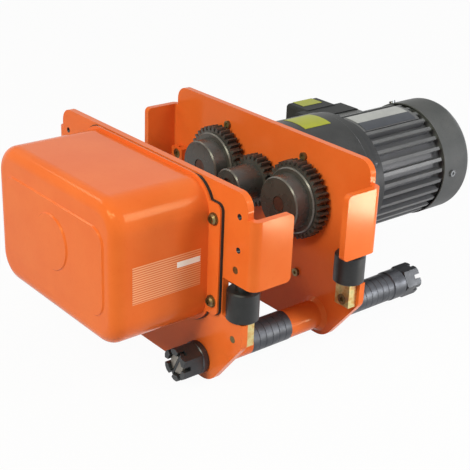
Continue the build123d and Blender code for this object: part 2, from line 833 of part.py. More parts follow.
# Motor: front shield, finned frame, wound core, rear shield
front_bearing_x = lid_end + front_bearing_set
front_pocket = front_bearing_x + motor_bearing_w
rear_bearing_x = frame_end - rear_bearing_set
rear_pocket = rear_bearing_x + motor_bearing_w
rear_end = frame_end + rear_l
rear_r = frame_r + rear_step
spigot_r = frame_bore - seat_gap
boss_r = motor_bearing_r + spigot_wall
pocket_r = motor_bearing_r + seat_gap
shaft_hole = motor_seat_r + edge
core_start = frame_start + core_set
core_end = core_start + core_l
fin_l = fan_cover_start - fin_gap - frame_start
term_floor_y = fin_r + edge
front_outline = [(lid_end, shaft_hole), (lid_end, shield_flange_r), (flange_end, shield_flange_r),
                 (flange_end, shield_neck_r), (flange_end + shield_flange_t, fin_r), (frame_start, fin_r),
                 (frame_start, spigot_r), (frame_start + spigot_l, spigot_r),
                 (frame_start + spigot_l, spigot_r - spigot_wall),
                 (front_pocket + spigot_l, spigot_r - spigot_wall), (front_pocket, boss_r),
                 (front_pocket, pocket_r), (front_bearing_x, pocket_r), (front_bearing_x, shaft_hole)]
with BuildPart() as motor_front_shield:
    add(turned(front_outline, motor_axis))
    with BuildSketch(cross_plane(lid_end, 0, drive_z)):
        with Locations(*bolt_places):
            Circle(bolt_r + seat_gap)
    extrude(amount=shield_flange_t, mode=Mode.SUBTRACT)
save("motor_front_shield", motor_front_shield.part)

with BuildPart() as motor_frame:
    with BuildSketch(cross_plane(frame_start, 0, drive_z)):
        Circle(frame_r)
    extrude(amount=frame_l)
    with BuildSketch(cross_plane(frame_start, 0, drive_z)):
        with PolarLocations((frame_r + fin_r - edge) / 2, fin_count, start_angle=180 / fin_count):
            Rectangle(fin_r - frame_r + edge, fin_t)
    extrude(amount=fin_l)
    with BuildSketch(cross_plane(frame_start, 0, drive_z)):
        with BuildLine():
            pad_arc = CenterArc((0, 0), fin_r, 180 - pad_to, pad_to - pad_from)
            Line((0, 0), pad_arc @ 0)
            Line((0, 0), pad_arc @ 1)
        make_face()
    extrude(amount=pad_l)
    term_x = frame_start + term_set + term_l / 2
    with BuildSketch(Plane(origin=(term_x, 0, drive_z), x_dir=(1, 0, 0), z_dir=(0, 1, 0))):
        Rectangle(term_l - 2 * term_pad_set, term_h - 2 * term_pad_drop)
    extrude(amount=term_floor_y)
    with BuildSketch(cross_plane(frame_start, 0, drive_z)):
        Circle(frame_bore)
    extrude(amount=frame_l, mode=Mode.SUBTRACT)
save("motor_frame", motor_frame.part)

save("stator_core", turned(ring(core_start, core_end, core_bore, spigot_r), motor_axis))
save("stator_winding", *[turned(ring(x, x + winding_l, winding_in, winding_out, edge), motor_axis)
                         for x in (core_start - winding_l, core_end)])

lug_turn = 60
lug_turns = [lug_turn + 120 * index for index in range(3)]
lug_r = fan_cover_r - fan_cover_wall - seat_gap
rear_outline = [(rear_bearing_x, pocket_r), (rear_pocket, pocket_r), (rear_pocket, shaft_hole),
                (rear_end, shaft_hole), (rear_end, rear_r), (frame_end, rear_r), (frame_end, spigot_r),
                (frame_end - spigot_l, spigot_r), (frame_end - spigot_l, boss_r), (rear_bearing_x, boss_r)]
with BuildPart() as motor_rear_shield:
    add(turned(rear_outline, motor_axis))
    with BuildSketch(cross_plane(frame_end, 0, drive_z)):
        with PolarLocations(lug_r - lug_depth / 2, len(lug_turns), start_angle=lug_turn):
            Rectangle(lug_depth, lug_w)
        Circle(lug_r, mode=Mode.INTERSECT)
    extrude(amount=cover_screw_x + lug_w / 2 - frame_end)
    for turn in lug_turns:
        with BuildSketch(radial_plane(cover_screw_x, 0, drive_z, turn, 0)):
            Circle(cover_screw_r + seat_gap)
        extrude(amount=fan_cover_r, mode=Mode.SUBTRACT)
save("motor_rear_shield", motor_rear_shield.part)

motor_bore = motor_seat_r + running_gap
save("motor_bearings", *[turned(ring(x, x + motor_bearing_w, motor_bore, motor_bearing_r), motor_axis)
                         for x in (front_bearing_x, rear_bearing_x)])

# Rotor: shaft with the motor pinion, rotor core and cooling fan
motor_pinion_x = first_gear_x - motor_pinion_lead
fan_x = rear_end + fan_set
fan_end = fan_x + fan_l
pinion_root_r = pinion_tip_r - (2 * stub_addendum + root_room) * first_module
shaft_neck_r = pinion_root_r - edge / 2
shaft_outline = [(motor_pinion_x, 0), (fan_end, 0), (fan_end, fan_seat_r), (rear_pocket, fan_seat_r),
                 (rear_pocket, motor_seat_r), (rear_bearing_x, motor_seat_r), (rear_bearing_x, rotor_bore),
                 (front_pocket, rotor_bore), (front_pocket, motor_seat_r), (front_bearing_x, motor_seat_r),
                 (front_bearing_x, shaft_neck_r), (motor_pinion_x, shaft_neck_r)]
with BuildPart() as motor_shaft:
    add(turned(shaft_outline, motor_axis))
    motor_plane = cross_plane(motor_pinion_x, 0, drive_z)
    add(gear(motor_plane, motor_teeth, first_module, stub_addendum, first_angle, motor_pinion_w))
save("motor_shaft", motor_shaft.part)
rotor_outline = ring(core_start, core_end, rotor_bore + seat_gap, core_bore - rotor_gap)
save("rotor_core", turned(rotor_outline, motor_axis))

with BuildPart() as cooling_fan:
    add(turned(ring(fan_x, fan_end, fan_seat_r + seat_gap, fan_hub_r), motor_axis))
    add(turned(ring(fan_x, fan_x + fan_disc_t, fan_hub_r - edge, fan_r), motor_axis))
    with BuildSketch(cross_plane(fan_x, 0, drive_z)):
        with PolarLocations((fan_hub_r + fan_r - edge) / 2, fan_blade_count):
            Rectangle(fan_r - fan_hub_r + edge, fan_blade_t)
    extrude(amount=fan_l)
save("cooling_fan", cooling_fan.part)

with BuildPart() as fan_cover:
    with BuildSketch(cross_plane(fan_cover_start, 0, drive_z)):
        Circle(fan_cover_r)
    extrude(amount=fan_cover_l)
    fillet(fan_cover.edges().filter_by(GeomType.CIRCLE).sort_by(Axis.X)[-1], fan_cover_round)
    offset(amount=-fan_cover_wall, openings=fan_cover.faces().sort_by(Axis.X)[0])
    with BuildSketch(cross_plane(fan_cover_end, 0, drive_z)):
        with PolarLocations(fan_slot_ring, fan_slot_count):
            SlotOverall(fan_slot_l, fan_slot_w)
    extrude(amount=-fan_cover_round, mode=Mode.SUBTRACT)
    for turn in lug_turns:
        with BuildSketch(radial_plane(cover_screw_x, 0, drive_z, turn, 0)):
            Circle(cover_screw_r + seat_gap)
        extrude(amount=fan_cover_r, mode=Mode.SUBTRACT)
save("fan_cover", fan_cover.part)


def fan_cover_screw(turn):
    head_base = fan_cover_r + seat_gap
    with BuildPart() as screw:
        with BuildSketch(radial_plane(cover_screw_x, 0, drive_z, turn, fan_cover_r - cover_screw_depth)):
            Circle(cover_screw_r)
        extrude(amount=cover_screw_depth + cover_screw_head_h / 2)
        with BuildSketch(radial_plane(cover_screw_x, 0, drive_z, turn, head_base)):
            Circle(cover_screw_head_r)
        extrude(amount=cover_screw_head_h)
        with BuildSketch(radial_plane(cover_screw_x, 0, drive_z, turn, head_base + cover_screw_head_h)):
            RegularPolygon(cover_screw_head_r / 2, 6)
        extrude(amount=-cover_screw_head_h / 2, mode=Mode.SUBTRACT)
    return screw.part


save("fan_cover_screws", *[fan_cover_screw(turn) for turn in lug_turns])

# Terminal box on the motor's far side
term_base_y = term_floor_y + term_base_t
term_lid_y = term_base_y + term_lid_t
term_gland_z = drive_z - term_h / 2
term_gland_y = (term_floor_y + term_wall + term_base_y) / 2
term_lid_l = term_l - 2 * term_lid_set
term_lid_h = term_h - 2 * term_lid_drop
term_screws = [(x * (term_lid_l / 2 - term_screw_set), z * (term_lid_h / 2 - term_screw_set))
               for x in both for z in both]


def term_plane(y):
    # Facing along the beam, centred on the terminal box
    return Plane(origin=(term_x, y, drive_z), x_dir=(1, 0, 0), z_dir=(0, 1, 0))


with BuildPart() as terminal_box:
    with BuildSketch(term_plane(term_floor_y)):
        RectangleRounded(term_l, term_h, term_round)
    extrude(amount=term_base_t)
    with BuildSketch(term_plane(term_floor_y + term_wall)):
        RectangleRounded(term_l - 2 * term_wall, term_h - 2 * term_wall, term_round - term_wall)
        with Locations(*term_screws):
            Circle(term_screw_r + term_wall, mode=Mode.SUBTRACT)
    extrude(amount=term_base_t - term_wall, mode=Mode.SUBTRACT)
    with BuildSketch(term_plane(term_base_y)):
        with Locations(*term_screws):
            Circle(term_screw_r + seat_gap)
    extrude(amount=-term_screw_depth, mode=Mode.SUBTRACT)
    with BuildSketch(Plane.XY.offset(term_gland_z)):
        with Locations((term_x, term_gland_y)):
            Circle(gland_thread_r + seat_gap)
    extrude(amount=term_wall, mode=Mode.SUBTRACT)
save("terminal_box", terminal_box.part)

with BuildPart() as terminal_lid:
    with BuildSketch(term_plane(term_base_y)):
        RectangleRounded(term_l, term_h, term_round)
    extrude(amount=term_wall)
    with BuildSketch(term_plane(term_base_y)):
        RectangleRounded(term_lid_l, term_lid_h, term_round)
    extrude(amount=term_lid_t)
    fillet(terminal_lid.edges().group_by(Axis.Y)[-1], term_round / 2)
    with BuildSketch(term_plane(term_base_y)):
        RectangleRounded(term_lid_l - 2 * term_wall, term_lid_h - 2 * term_wall, term_round - term_wall)
        with Locations(*term_screws):
            Circle(term_screw_r + term_wall, mode=Mode.SUBTRACT)
    extrude(amount=term_lid_t - term_wall, mode=Mode.SUBTRACT)
    with BuildSketch(term_plane(term_base_y)):
        with Locations(*term_screws):
            Circle(term_screw_r + seat_gap)
    extrude(amount=term_lid_t, mode=Mode.SUBTRACT)
save("terminal_lid", terminal_lid.part)

term_screw_outline = [(term_base_y - term_screw_depth, 0), (term_lid_y + term_screw_head_h, 0),
                      (term_lid_y + term_screw_head_h, term_screw_head_r), (term_lid_y, term_screw_head_r),
                      (term_lid_y, term_screw_r), (term_base_y - term_screw_depth, term_screw_r)]
save("terminal_screws", *[turned(term_screw_outline, (term_x + x, 0, drive_z + z), (0, 1, 0))
                          for x, z in term_screws])

# Control box: a deep-drawn cover with a rim, ears for its screws and a gasket behind it
gland_x = box_back - gland_set
gland_places = [(gland_x, y * gland_pitch / 2) for y in both]
ear_l = ear_w + box_corner_r


def rim_face(grow):
    rim = rim_w + grow
    with BuildSketch(cross_plane(box_back)) as sketch:
        with Locations((0, box_z)):
            RectangleRounded(box_w + 2 * rim, box_h + 2 * rim, box_corner_r + rim)
        with Locations(*[(y * (box_w / 2 + ear_w - ear_l / 2), box_z) for y in both]):
            RectangleRounded(ear_l + 2 * grow, ear_h + 2 * grow, ear_r + grow)
        with Locations((0, box_z)):
            RectangleRounded(box_w - 2 * box_wall, box_h - 2 * box_wall, box_corner_r - box_wall,
                             mode=Mode.SUBTRACT)
        with Locations(*box_screws):
            Circle(box_screw_r + screw_gap, mode=Mode.SUBTRACT)
    return sketch.sketch


def front_plane(x, z):
    # Facing away from the beam, on the cover's front
    return Plane(origin=(x, 0, z), x_dir=(0, -1, 0), z_dir=(-1, 0, 0))


with BuildPart() as control_cover:
    with BuildSketch(cross_plane(box_back, 0, box_z)):
        RectangleRounded(box_w, box_h, box_corner_r)
    extrude(amount=-box_d)
    fillet(control_cover.faces().sort_by(Axis.X)[0].edges(), box_edge_r)
    offset(amount=-box_wall, openings=control_cover.faces().sort_by(Axis.X)[-1])
    with BuildSketch(front_plane(box_front, box_z)):
        RectangleRounded(panel_w, panel_h, panel_r)
    extrude(amount=panel_rise, taper=press_slope)
    with BuildSketch(front_plane(box_front - panel_rise, box_z + badge_lift)):
        Circle(badge_r)
    extrude(amount=badge_rise, taper=press_slope)
    with BuildSketch(front_plane(box_front + box_wall, box_z)):
        RectangleRounded(panel_w - 2 * box_wall, panel_h - 2 * box_wall, panel_r - box_wall)
    extrude(amount=panel_rise, taper=press_slope, mode=Mode.SUBTRACT)
    with BuildSketch(front_plane(box_front + box_wall - panel_rise, box_z + badge_lift)):
        Circle(badge_r - box_wall)
    extrude(amount=badge_rise, taper=press_slope, mode=Mode.SUBTRACT)
    extrude(rim_face(0), amount=-box_wall)
    with BuildSketch(Plane.XY.offset(box_floor)):
        with Locations(*gland_places):
            Circle(gland_thread_r + seat_gap)
    extrude(amount=box_wall, mode=Mode.SUBTRACT)
save("control_cover", control_cover.part)

with BuildPart() as cover_gasket:
    extrude(rim_face(gasket_lip), amount=gasket_t)
    with BuildSketch(cross_plane(box_back, 0, box_z + box_h / 2 + rim_w - gasket_drop)):
        Rectangle(box_w, box_corner_r, align=(Align.CENTER, Align.MIN))
    extrude(amount=gasket_t, mode=Mode.SUBTRACT)
save("cover_gasket", cover_gasket.part)

washer_x = outer_x + gasket_t + box_wall
head_x = washer_x + box_washer_t
head_end = head_x + box_screw_head_h
box_screw_outline = [(inner_x, 0), (head_end, 0), (head_end, box_screw_head_r - edge),
                     (head_x + edge, box_screw_head_r), (head_x, box_screw_head_r), (head_x, box_washer_r),
                     (washer_x, box_washer_r), (washer_x, box_screw_r), (inner_x, box_screw_r)]


def cover_screw(y, z):
    with BuildPart() as screw:
        add(turned(box_screw_outline, (0, y, z), (-1, 0, 0)))
        with BuildSketch(cross_plane(-head_end, y, z)):
            Rectangle(box_screw_head_r, 2 * edge)
            Rectangle(2 * edge, box_screw_head_r)
        extrude(amount=box_screw_head_h / 2, mode=Mode.SUBTRACT)
    return screw.part


save("cover_screws", *[cover_screw(y, z) for y, z in box_screws])

# Inside the control box: a tray on posts with two contactors, a transformer and a terminal strip
tray_x = outer_x + tray_stand
tray_face = -tray_x - tray_t
post_places = [(y * (tray_w / 2 - post_set), box_z + z * (tray_h / 2 - post_set)) for y in both for z in both]
contactor_y = (contactor_w - tray_w) / 2 + tray_r
device_z = box_z + tray_h / 2 - tray_r - contactor_h / 2
transformer_y = contactor_y + contactor_pitch + (contactor_w + transformer_w) / 2 + edge
strip_z = box_z - tray_h / 2 + tray_r + strip_h
with BuildPart() as mounting_tray:
    with BuildSketch(cross_plane(-tray_x, 0, box_z)):
        RectangleRounded(tray_w, tray_h, tray_r)
    extrude(amount=-tray_t)
save("mounting_tray", mounting_tray.part)
save("tray_posts", *[turned(ring(outer_x, tray_x, 0, post_r), (0, y, z), (-1, 0, 0)) for y, z in post_places])


def contactor(y):
    with BuildPart() as body:
        with BuildSketch(cross_plane(tray_face, y, device_z)):
            Rectangle(contactor_w, contactor_h)
        extrude(amount=contactor_step - contactor_d)
        with BuildSketch(cross_plane(tray_face, y, device_z)):
            Rectangle(contactor_w - edge, contactor_h - 2 * contactor_cut)
        extrude(amount=-contactor_d)
        with BuildSketch(cross_plane(tray_face - contactor_d + contactor_step, y, device_z)):
            with GridLocations(contactor_w / 4, contactor_h - contactor_cut, 4, 2):
                Circle(contactor_screw_r)
        extrude(amount=contactor_step / 2, mode=Mode.SUBTRACT)
    return body.part


save("contactors", contactor(contactor_y), contactor(contactor_y + contactor_pitch))

with BuildPart() as transformer:
    with BuildSketch(cross_plane(tray_face, transformer_y, device_z)):
        Rectangle(transformer_w, transformer_core)
    extrude(amount=-transformer_d)
    with BuildSketch(cross_plane(tray_face - transformer_coil_set, transformer_y, device_z)):
        RectangleRounded(transformer_coil_w, transformer_h, 2 * edge)
    extrude(amount=2 * transformer_coil_set - transformer_d)
save("transformer", transformer.part)

with BuildPart() as terminal_strip:
    with BuildSketch(cross_plane(tray_face, 0, strip_z)):
        Rectangle(strip_l, strip_h)
    extrude(amount=-strip_d)
    with BuildSketch(cross_plane(tray_face - strip_d, 0, strip_z)):
        with GridLocations(strip_l / strip_ways, strip_h, strip_ways - 1, 1):
            Rectangle(edge, strip_h)
    extrude(amount=strip_d / 3, mode=Mode.SUBTRACT)
save("terminal_strip", terminal_strip.part)


def gland(x, y, wall_z, wall):
    # A cable gland through a floor: hexagon and dome below it, a nut above it
    hex_z = wall_z - gland_flange_h
    low = hex_z - gland_dome_h
    high = wall_z + wall + gland_nut_h
    dome = [(low, 0), (hex_z + edge, 0), (hex_z + edge, gland_dome_r), (low + 2 * edge, gland_dome_r),
            (low, gland_dome_r - 2 * edge)]
    with BuildPart() as body:
        add(turned(dome, (x, y, 0), (0, 0, 1)))
        for start, height in ((hex_z, gland_flange_h), (wall_z + wall, gland_nut_h)):
            with BuildSketch(Plane.XY.offset(start)):
                with Locations((x, y)):
                    RegularPolygon(gland_across / 2, 6, major_radius=False)
            extrude(amount=height)
        add(turned(ring(hex_z, high, 0, gland_thread_r), (x, y, 0), (0, 0, 1)))
        with BuildSketch(Plane.XY.offset(low)):
            with Locations((x, y)):
                Circle(gland_bore)
        extrude(amount=high - low, mode=Mode.SUBTRACT)
    return body.part


save("cable_glands", *[gland(x, y, box_floor, box_wall) for x, y in gland_places],
     gland(term_x, term_gland_y, term_gland_z, term_wall))
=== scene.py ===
import json

import bpy
import numpy as np
from mathutils import Matrix, Vector


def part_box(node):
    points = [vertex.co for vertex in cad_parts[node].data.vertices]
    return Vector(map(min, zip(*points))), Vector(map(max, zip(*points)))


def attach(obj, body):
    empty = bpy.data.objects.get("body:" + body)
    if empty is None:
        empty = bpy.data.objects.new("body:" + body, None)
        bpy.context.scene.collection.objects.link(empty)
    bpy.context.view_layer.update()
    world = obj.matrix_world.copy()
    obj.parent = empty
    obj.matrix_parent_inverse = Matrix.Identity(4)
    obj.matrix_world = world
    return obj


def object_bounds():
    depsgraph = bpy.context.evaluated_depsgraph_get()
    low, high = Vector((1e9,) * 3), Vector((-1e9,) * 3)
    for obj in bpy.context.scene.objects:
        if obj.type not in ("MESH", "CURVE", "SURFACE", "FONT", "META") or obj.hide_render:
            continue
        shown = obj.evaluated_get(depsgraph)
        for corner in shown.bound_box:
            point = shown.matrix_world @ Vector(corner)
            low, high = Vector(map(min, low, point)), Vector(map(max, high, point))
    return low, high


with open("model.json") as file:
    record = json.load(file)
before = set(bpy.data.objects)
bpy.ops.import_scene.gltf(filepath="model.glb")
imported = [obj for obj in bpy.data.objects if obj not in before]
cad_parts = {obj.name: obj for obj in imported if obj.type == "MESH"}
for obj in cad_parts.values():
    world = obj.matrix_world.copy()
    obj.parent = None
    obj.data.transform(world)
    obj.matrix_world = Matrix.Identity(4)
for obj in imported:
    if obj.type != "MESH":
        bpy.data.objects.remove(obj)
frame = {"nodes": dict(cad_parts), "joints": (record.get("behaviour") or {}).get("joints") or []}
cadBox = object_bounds()
mm = 0.001
axes = {joint["child"]: Vector(joint["pos_m"]) / mm for joint in frame["joints"]}  # body axes in mm
scene = bpy.context.scene
scene.view_settings.view_transform = "Standard"
print("frame loaded:", len(frame["nodes"]), "nodes")


def boxMm(node):  # a node's lowest and highest corners in mm
    return np.round(np.array(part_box(node)) / mm, 3)


# the photograph's camera, places in mm
cameraSet = {"place": (-749.7, -935.7, 509.2), "right": (0.77322283, -0.63304326, 0.03718446),
             "up": (0.23042706, 0.33511439, 0.91356539), "lens": 83.11, "sensor": 36.0,
             "nearest": 10}
camera = bpy.data.objects.new("photoCamera", bpy.data.cameras.new("photoCamera"))
camera.data.lens, camera.data.sensor_width = cameraSet["lens"], cameraSet["sensor"]
camera.data.clip_start = cameraSet["nearest"] * mm
camRight, camUp = Vector(cameraSet["right"]).normalized(), Vector(cameraSet["up"])
camBack = camRight.cross(camUp).normalized()
camUp = camBack.cross(camRight)
camera.matrix_world = (Matrix.Translation(Vector(cameraSet["place"]) * mm)
                       @ Matrix((camRight, camUp, camBack)).transposed().to_4x4())
scene.collection.objects.link(camera)
scene.camera = camera


def hexColor(code):  # sRGB hex to linear
    srgb = np.array([int(code[i:i + 2], 16) for i in (1, 3, 5)]) / 255
    linear = np.where(srgb <= 0.04045, srgb / 12.92, ((srgb + 0.055) / 1.055) ** 2.4)
    return (*linear.tolist(), 1.0)


def addNode(tree, kind, settings, links=()):
    # settings by property or input, links as (input, node, output)
    # numbered sockets: a map range has 0 value, 1 and 2 from, 3 and 4 to
    # a colour mix has 0 share, 6 and 7 the two colours, and 2 its result
    node = tree.nodes.new("ShaderNode" + kind)
    for key, value in settings.items():
        if isinstance(key, str) and hasattr(node, key):
            setattr(node, key, value)
        else:
            node.inputs[key].default_value = value
    for key, source, output in links:
        tree.links.new(source.outputs[output], node.inputs[key])
    return node


def newMaterial(name, **shader):  # a Principled shader with its fixed values, and its tree
    material = bpy.data.materials.new(name)
    material.use_nodes = True
    tree = material.node_tree
    tree.nodes.clear()
    main = addNode(tree, "BsdfPrincipled", shader)
    addNode(tree, "OutputMaterial", {}, [("Surface", main, "BSDF")])
    return material, tree, main


def perMm(size):  # texture scale, in waves per metre, for a pattern of this size in mm
    return 1 / (size * mm)


waveTurn = 2 * np.pi / 20  # a wave texture runs 20 radians per unit of its scale
# noise levels between which patches, specks and roughness change over, and how fine the noise is
noiseSet = {"patch": (0.35, 0.65), "speck": (0.58, 0.72), "rough": (0.3, 0.7),
            "coarse": 3.0, "fine": 2.0, "patchGrit": 0.55}


def mottled(name, look):
    # two tints in soft patches, a third in small specks, roughness that drifts, and a fine relief
    # grain that is finer than a pixel of the render is drawn about 1 mm coarse, so that it shows
    material, tree, main = newMaterial(name, **look["shader"])
    coords = addNode(tree, "TexCoord", {})
    patch = addNode(tree, "TexNoise", {"Scale": perMm(look["patchMm"]), "Detail": noiseSet["coarse"],
                                       "Roughness": noiseSet["patchGrit"]},
                    [("Vector", coords, "Object")])
    speck = addNode(tree, "TexNoise", {"Scale": perMm(look["speckMm"]), "Detail": noiseSet["fine"]},
                    [("Vector", coords, "Object")])
    grain = addNode(tree, "TexNoise", {"Scale": perMm(look["grainMm"]), "Detail": noiseSet["fine"]},
                    [("Vector", coords, "Object")])
    drift = addNode(tree, "MapRange", {1: noiseSet["patch"][0], 2: noiseSet["patch"][1]},
                    [(0, patch, "Fac")])
    dots = addNode(tree, "MapRange", {1: noiseSet["speck"][0], 2: noiseSet["speck"][1],
                                      3: 0.0, 4: look["speckShare"]},
                   [(0, speck, "Fac")])
    first, second, third = (hexColor(tint) for tint in look["tints"])
    tint = addNode(tree, "Mix", {"data_type": "RGBA", 6: first, 7: second}, [(0, drift, 0)])
    color = addNode(tree, "Mix", {"data_type": "RGBA", 7: third}, [(0, dots, 0), (6, tint, 2)])
    rough = addNode(tree, "MapRange", {1: noiseSet["rough"][0], 2: noiseSet["rough"][1],
                                       3: look["rough"][0], 4: look["rough"][1]},
                    [(0, patch, "Fac")])
    bump = addNode(tree, "Bump", {"Strength": look["bump"], "Distance": look["grainDeep"] * mm},
                   [("Height", grain, "Fac")])
    for socket, node, output in (("Base Color", color, 2), ("Roughness", rough, 0), ("Normal", bump, 0)):
        tree.links.new(node.outputs[output], main.inputs[socket])
    return material


# gloss powder coat on sheet steel: even colour, soft orange peel, a warm gloss
orangeLook = {"tints": ("#E46B2F", "#E77135", "#DF642B"), "patchMm": 60, "speckMm": 4,
              "speckShare": 0.25, "rough": (0.14, 0.2), "grainMm": 3.0, "grainDeep": 0.05, "bump": 0.12,
              "shader": {"Metallic": 0.0, "IOR": 1.45, "Specular IOR Level": 0.17,
                         "Specular Tint": hexColor("#FFEAB0")}}
# semi-gloss machine paint over sand castings: near black, slightly rough skin
motorPaintLook = {"tints": ("#37383A", "#3E3F41", "#303134"), "patchMm": 35, "speckMm": 2.5,
                  "speckShare": 0.5, "rough": (0.34, 0.44), "grainMm": 1.8, "grainDeep": 0.08,
                  "bump": 0.3, "shader": {"Metallic": 0.0, "IOR": 1.5, "Specular IOR Level": 0.12}}
# the same paint, glossier, on the finned motor frame; its lighter grey is painted light, a lit copy of
# the motor paint standing in for sheen
litFramePaintLook = {"tints": ("#595A5D", "#616265", "#505154"), "patchMm": 35, "speckMm": 2.5,
                  "speckShare": 0.5, "rough": (0.3, 0.38), "grainMm": 1.8, "grainDeep": 0.06,
                  "bump": 0.25, "shader": {"Metallic": 0.0, "IOR": 1.5, "Specular IOR Level": 0.2}}
# the same paint on the pressed fan cover, smoother; its lighter grey is painted light, a lit copy of the
# motor paint
litCoverPaintLook = {"tints": ("#525456", "#5A5B5D", "#4A4C4E"), "patchMm": 35, "speckMm": 2.5,
                  "speckShare": 0.5, "rough": (0.32, 0.4), "grainMm": 1.8, "grainDeep": 0.04,
                  "bump": 0.2, "shader": {"Metallic": 0.0, "IOR": 1.5, "Specular IOR Level": 0.03}}
# the same paint on the terminal box, duller; its darker grey is painted shade, a shaded copy of the motor
# paint
shadedBoxPaintLook = {"tints": ("#313234", "#37383A", "#2B2C2E"), "patchMm": 35, "speckMm": 2.5,
                "speckShare": 0.5, "rough": (0.4, 0.5), "grainMm": 1.8, "grainDeep": 0.06,
                "bump": 0.25, "shader": {"Metallic": 0.0, "IOR": 1.5, "Specular IOR Level": 0.05}}
# black oxide on ground steel: blue-black with a soft gleam
oxideLook = {"tints": ("#525459", "#46484D", "#62646A"), "patchMm": 14, "speckMm": 1.6,
             "speckShare": 0.5, "rough": (0.38, 0.5), "grainMm": 1.4, "grainDeep": 0.03,
             "bump": 0.25, "shader": {"Metallic": 0.8}}
# thicker black oxide on nuts and screws: satin
satinLook = {"tints": ("#404246", "#383A3E", "#4C4E52"), "patchMm": 14, "speckMm": 1.6,
             "speckShare": 0.5, "rough": (0.36, 0.48), "grainMm": 1.4, "grainDeep": 0.03,
             "bump": 0.25, "shader": {"Metallic": 0.5}}
# cut threads left dark by oil: near black with a wet gleam
threadLook = {"tints": ("#33363A", "#292C30", "#3E4146"), "patchMm": 5, "speckMm": 1.2,
              "speckShare": 0.5, "rough": (0.3, 0.42), "grainMm": 0.9, "grainDeep": 0.02,
              "bump": 0.2, "shader": {"Metallic": 0.7}}
# blackened steel of the guide rollers: deep black with a satin sheen
rollerLook = {"tints": ("#2A2B2D", "#232426", "#333437"), "patchMm": 12, "speckMm": 1.5,
              "speckShare": 0.4, "rough": (0.36, 0.46), "grainMm": 1.2, "grainDeep": 0.02,
              "bump": 0.2, "shader": {"Metallic": 0.35}}
# bare machined steel under a thin film of oil: warm grey, softly bright
steelLook = {"tints": ("#8C8780", "#7A746C", "#69625A"), "patchMm": 9, "speckMm": 1.5,
             "speckShare": 0.5, "rough": (0.28, 0.42), "grainMm": 1.0, "grainDeep": 0.02,
             "bump": 0.2, "shader": {"Metallic": 0.9}}
# clear zinc plating on small screws: bright and cool
clearZincLook = {"tints": ("#8A8C8F", "#96989B", "#707275"), "patchMm": 4, "speckMm": 1.2,
                 "speckShare": 0.4, "rough": (0.2, 0.3), "grainMm": 0.9, "grainDeep": 0.01,
                 "bump": 0.1, "shader": {"Metallic": 0.9}}
# axle ends browned by heat treatment and oil: red-brown with a dull gleam
axleLook = {"tints": ("#5E3A2A", "#4A2D22", "#724A36"), "patchMm": 7, "speckMm": 1.5,
            "speckShare": 0.5, "rough": (0.38, 0.52), "grainMm": 1.0, "grainDeep": 0.02,
            "bump": 0.2, "shader": {"Metallic": 0.5}}
# varnished sheet-steel stacks inside the motor and the transformer: mid grey with a dull sheen
coreLook = {"tints": ("#5C5D60", "#4D4E51", "#6B6C6E"), "patchMm": 10, "speckMm": 1.5,
            "speckShare": 0.4, "rough": (0.4, 0.55), "grainMm": 0.8, "grainDeep": 0.03,
            "bump": 0.3, "shader": {"Metallic": 0.7}}
# varnished copper wire: red-gold, glossy and uneven
copperLook = {"tints": ("#A8623A", "#8E4F2E", "#BC7A4C"), "patchMm": 6, "speckMm": 1.2,
              "speckShare": 0.6, "rough": (0.3, 0.45), "grainMm": 1.0, "grainDeep": 0.1,
              "bump": 0.5, "shader": {"Metallic": 0.8}}
# black moulded rubber sheet: dull, hardly any sheen
rubberLook = {"tints": ("#161616", "#1B1B1B", "#222222"), "patchMm": 15, "speckMm": 1.5,
              "speckShare": 0.4, "rough": (0.7, 0.85), "grainMm": 1.0, "grainDeep": 0.05,
              "bump": 0.3, "shader": {"Metallic": 0.0}}
# black moulded polyamide: satin with a faint grain
plasticLook = {"tints": ("#1E1F21", "#232427", "#2A2B2D"), "patchMm": 12, "speckMm": 1.2,
               "speckShare": 0.3, "rough": (0.42, 0.55), "grainMm": 0.9, "grainDeep": 0.03,
               "bump": 0.3, "shader": {"Metallic": 0.0}}
# grey moulded polyamide of the terminal strip: the same grain, pale
stripLook = {"tints": ("#8E9092", "#868889", "#9A9C9D"), "patchMm": 12, "speckMm": 1.2,
             "speckShare": 0.3, "rough": (0.45, 0.58), "grainMm": 0.9, "grainDeep": 0.03,
             "bump": 0.3, "shader": {"Metallic": 0.0}}
# yellow-green anodized aluminium sheet: strong colour, soft metallic sheen
anodizedLook = {"tints": ("#9CA122", "#A5A92A", "#8F951E"), "patchMm": 12, "speckMm": 1.2,
                "speckShare": 0.3, "rough": (0.35, 0.45), "grainMm": 0.9, "grainDeep": 0.02,
                "bump": 0.2, "shader": {"Metallic": 0.2, "Specular IOR Level": 0.2}}
# aluminium sheet printed dark blue-grey: even, with a slight gloss
printLook = {"tints": ("#3E4149", "#44474F", "#383B42"), "patchMm": 15, "speckMm": 1.2,
             "speckShare": 0.4, "rough": (0.3, 0.4), "grainMm": 0.9, "grainDeep": 0.02,
             "bump": 0.1, "shader": {"Metallic": 0.2, "Specular IOR Level": 0.2}}
# bare satin aluminium sheet: pale grey with a broad gleam
bareLook = {"tints": ("#A4A5A3", "#AEAFAC", "#989997"), "patchMm": 15, "speckMm": 1.2,
            "speckShare": 0.4, "rough": (0.34, 0.44), "grainMm": 0.9, "grainDeep": 0.02,
            "bump": 0.2, "shader": {"Metallic": 0.6}}
# white vinyl film: clean white with a soft gloss
whiteLook = {"tints": ("#FDFCFB", "#FFFFFF", "#F8F7F5"), "patchMm": 12, "speckMm": 1.2,
             "speckShare": 0.3, "rough": (0.4, 0.5), "grainMm": 0.9, "grainDeep": 0.02,
             "bump": 0.1, "shader": {"Metallic": 0.0}}

